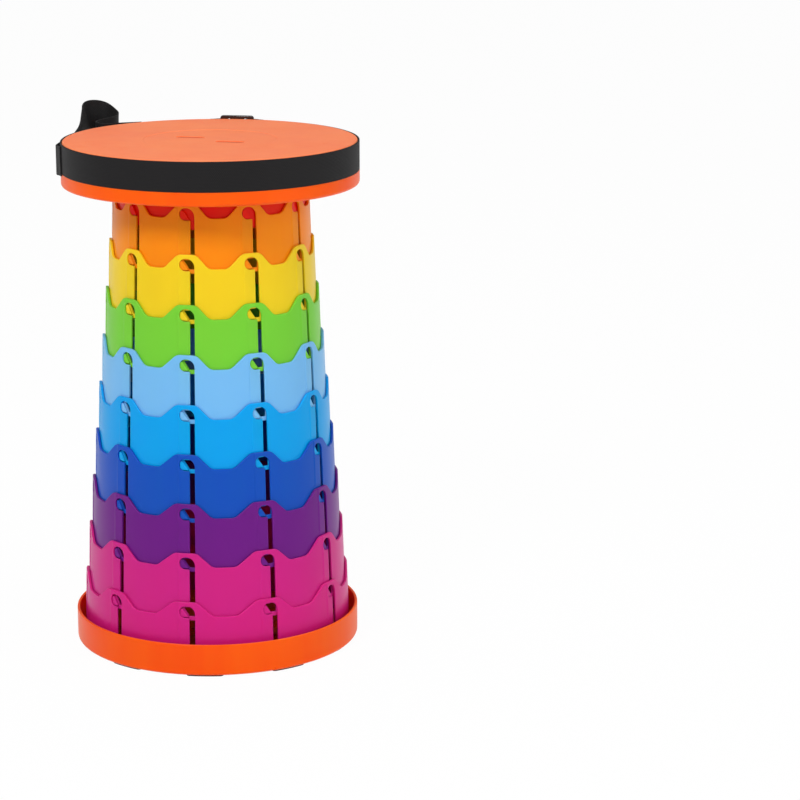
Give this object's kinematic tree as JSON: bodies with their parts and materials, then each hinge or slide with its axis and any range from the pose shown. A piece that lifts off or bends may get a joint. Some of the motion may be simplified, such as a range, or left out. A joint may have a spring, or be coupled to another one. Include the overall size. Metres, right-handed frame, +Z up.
{
  "type": "collapsible telescopic stool",
  "caption": "Round stool on a tower of nested plastic tiers that slide into a flat disc, with a webbing carry strap round the seat.",
  "frame": {"origin": "on the ground under the middle of the dish", "axes": "+Z up through the middle of the tower, -Y towards the pictured front, +X to the right seen from the front"},
  "size_m": [0.2547, 0.2661, 0.4494],
  "materials": {
    "orange_shell": "satin gloss",
    "tier_magenta": "satin gloss",
    "tier_purple": "satin gloss",
    "tier_royal_blue": "satin gloss",
    "tier_sky_blue": "satin gloss",
    "tier_light_blue": "satin gloss",
    "tier_green": "satin gloss",
    "tier_yellow": "satin gloss",
    "tier_orange": "satin gloss",
    "black_webbing": "woven",
    "dark_buckle": "satin gloss",
    "foot_rubber": "matte",
    "screw_steel": "zinc plated",
    "white_thread": "woven"
  },
  "bodies": {
    "base": {"base_dish": "orange_shell", "base_feet": "foot_rubber", "base_screws": "screw_steel", "ring_1": "tier_magenta"},
    "tier_2": {"ring_2": "tier_magenta"},
    "tier_3": {"ring_3": "tier_purple"},
    "tier_4": {"ring_4": "tier_royal_blue"},
    "tier_5": {"ring_5": "tier_sky_blue"},
    "tier_6": {"ring_6": "tier_light_blue"},
    "tier_7": {"ring_7": "tier_green"},
    "tier_8": {"ring_8": "tier_yellow"},
    "tier_9": {"ring_9": "tier_orange"},
    "seat": {"seat_collar": "orange_shell", "seat_pan": "orange_shell", "seat_cover": "orange_shell", "seat_screws": "screw_steel", "strap_buckle": "dark_buckle", "strap_band": "black_webbing", "carry_loop": "black_webbing", "strap_stitches": "white_thread"}
  },
  "joints": [
    {"name": "tier_2_slide", "type": "slide", "parent": "base", "child": "tier_2", "axis": [0, 0, 1], "range_m": [-0.04265, 0]},
    {"name": "tier_3_slide", "type": "slide", "parent": "tier_2", "child": "tier_3", "axis": [0, 0, 1], "range_m": [-0.04115, 0]},
    {"name": "tier_4_slide", "type": "slide", "parent": "tier_3", "child": "tier_4", "axis": [0, 0, 1], "range_m": [-0.04115, 0]},
    {"name": "tier_5_slide", "type": "slide", "parent": "tier_4", "child": "tier_5", "axis": [0, 0, 1], "range_m": [-0.04115, 0]},
    {"name": "tier_6_slide", "type": "slide", "parent": "tier_5", "child": "tier_6", "axis": [0, 0, 1], "range_m": [-0.04115, 0]},
    {"name": "tier_7_slide", "type": "slide", "parent": "tier_6", "child": "tier_7", "axis": [0, 0, 1], "range_m": [-0.04115, 0]},
    {"name": "tier_8_slide", "type": "slide", "parent": "tier_7", "child": "tier_8", "axis": [0, 0, 1], "range_m": [-0.04115, 0]},
    {"name": "tier_9_slide", "type": "slide", "parent": "tier_8", "child": "tier_9", "axis": [0, 0, 1], "range_m": [-0.04115, 0]},
    {"name": "seat_slide", "type": "slide", "parent": "tier_9", "child": "seat", "axis": [0, 0, 1], "range_m": [-0.0358, 0]}
  ]
}
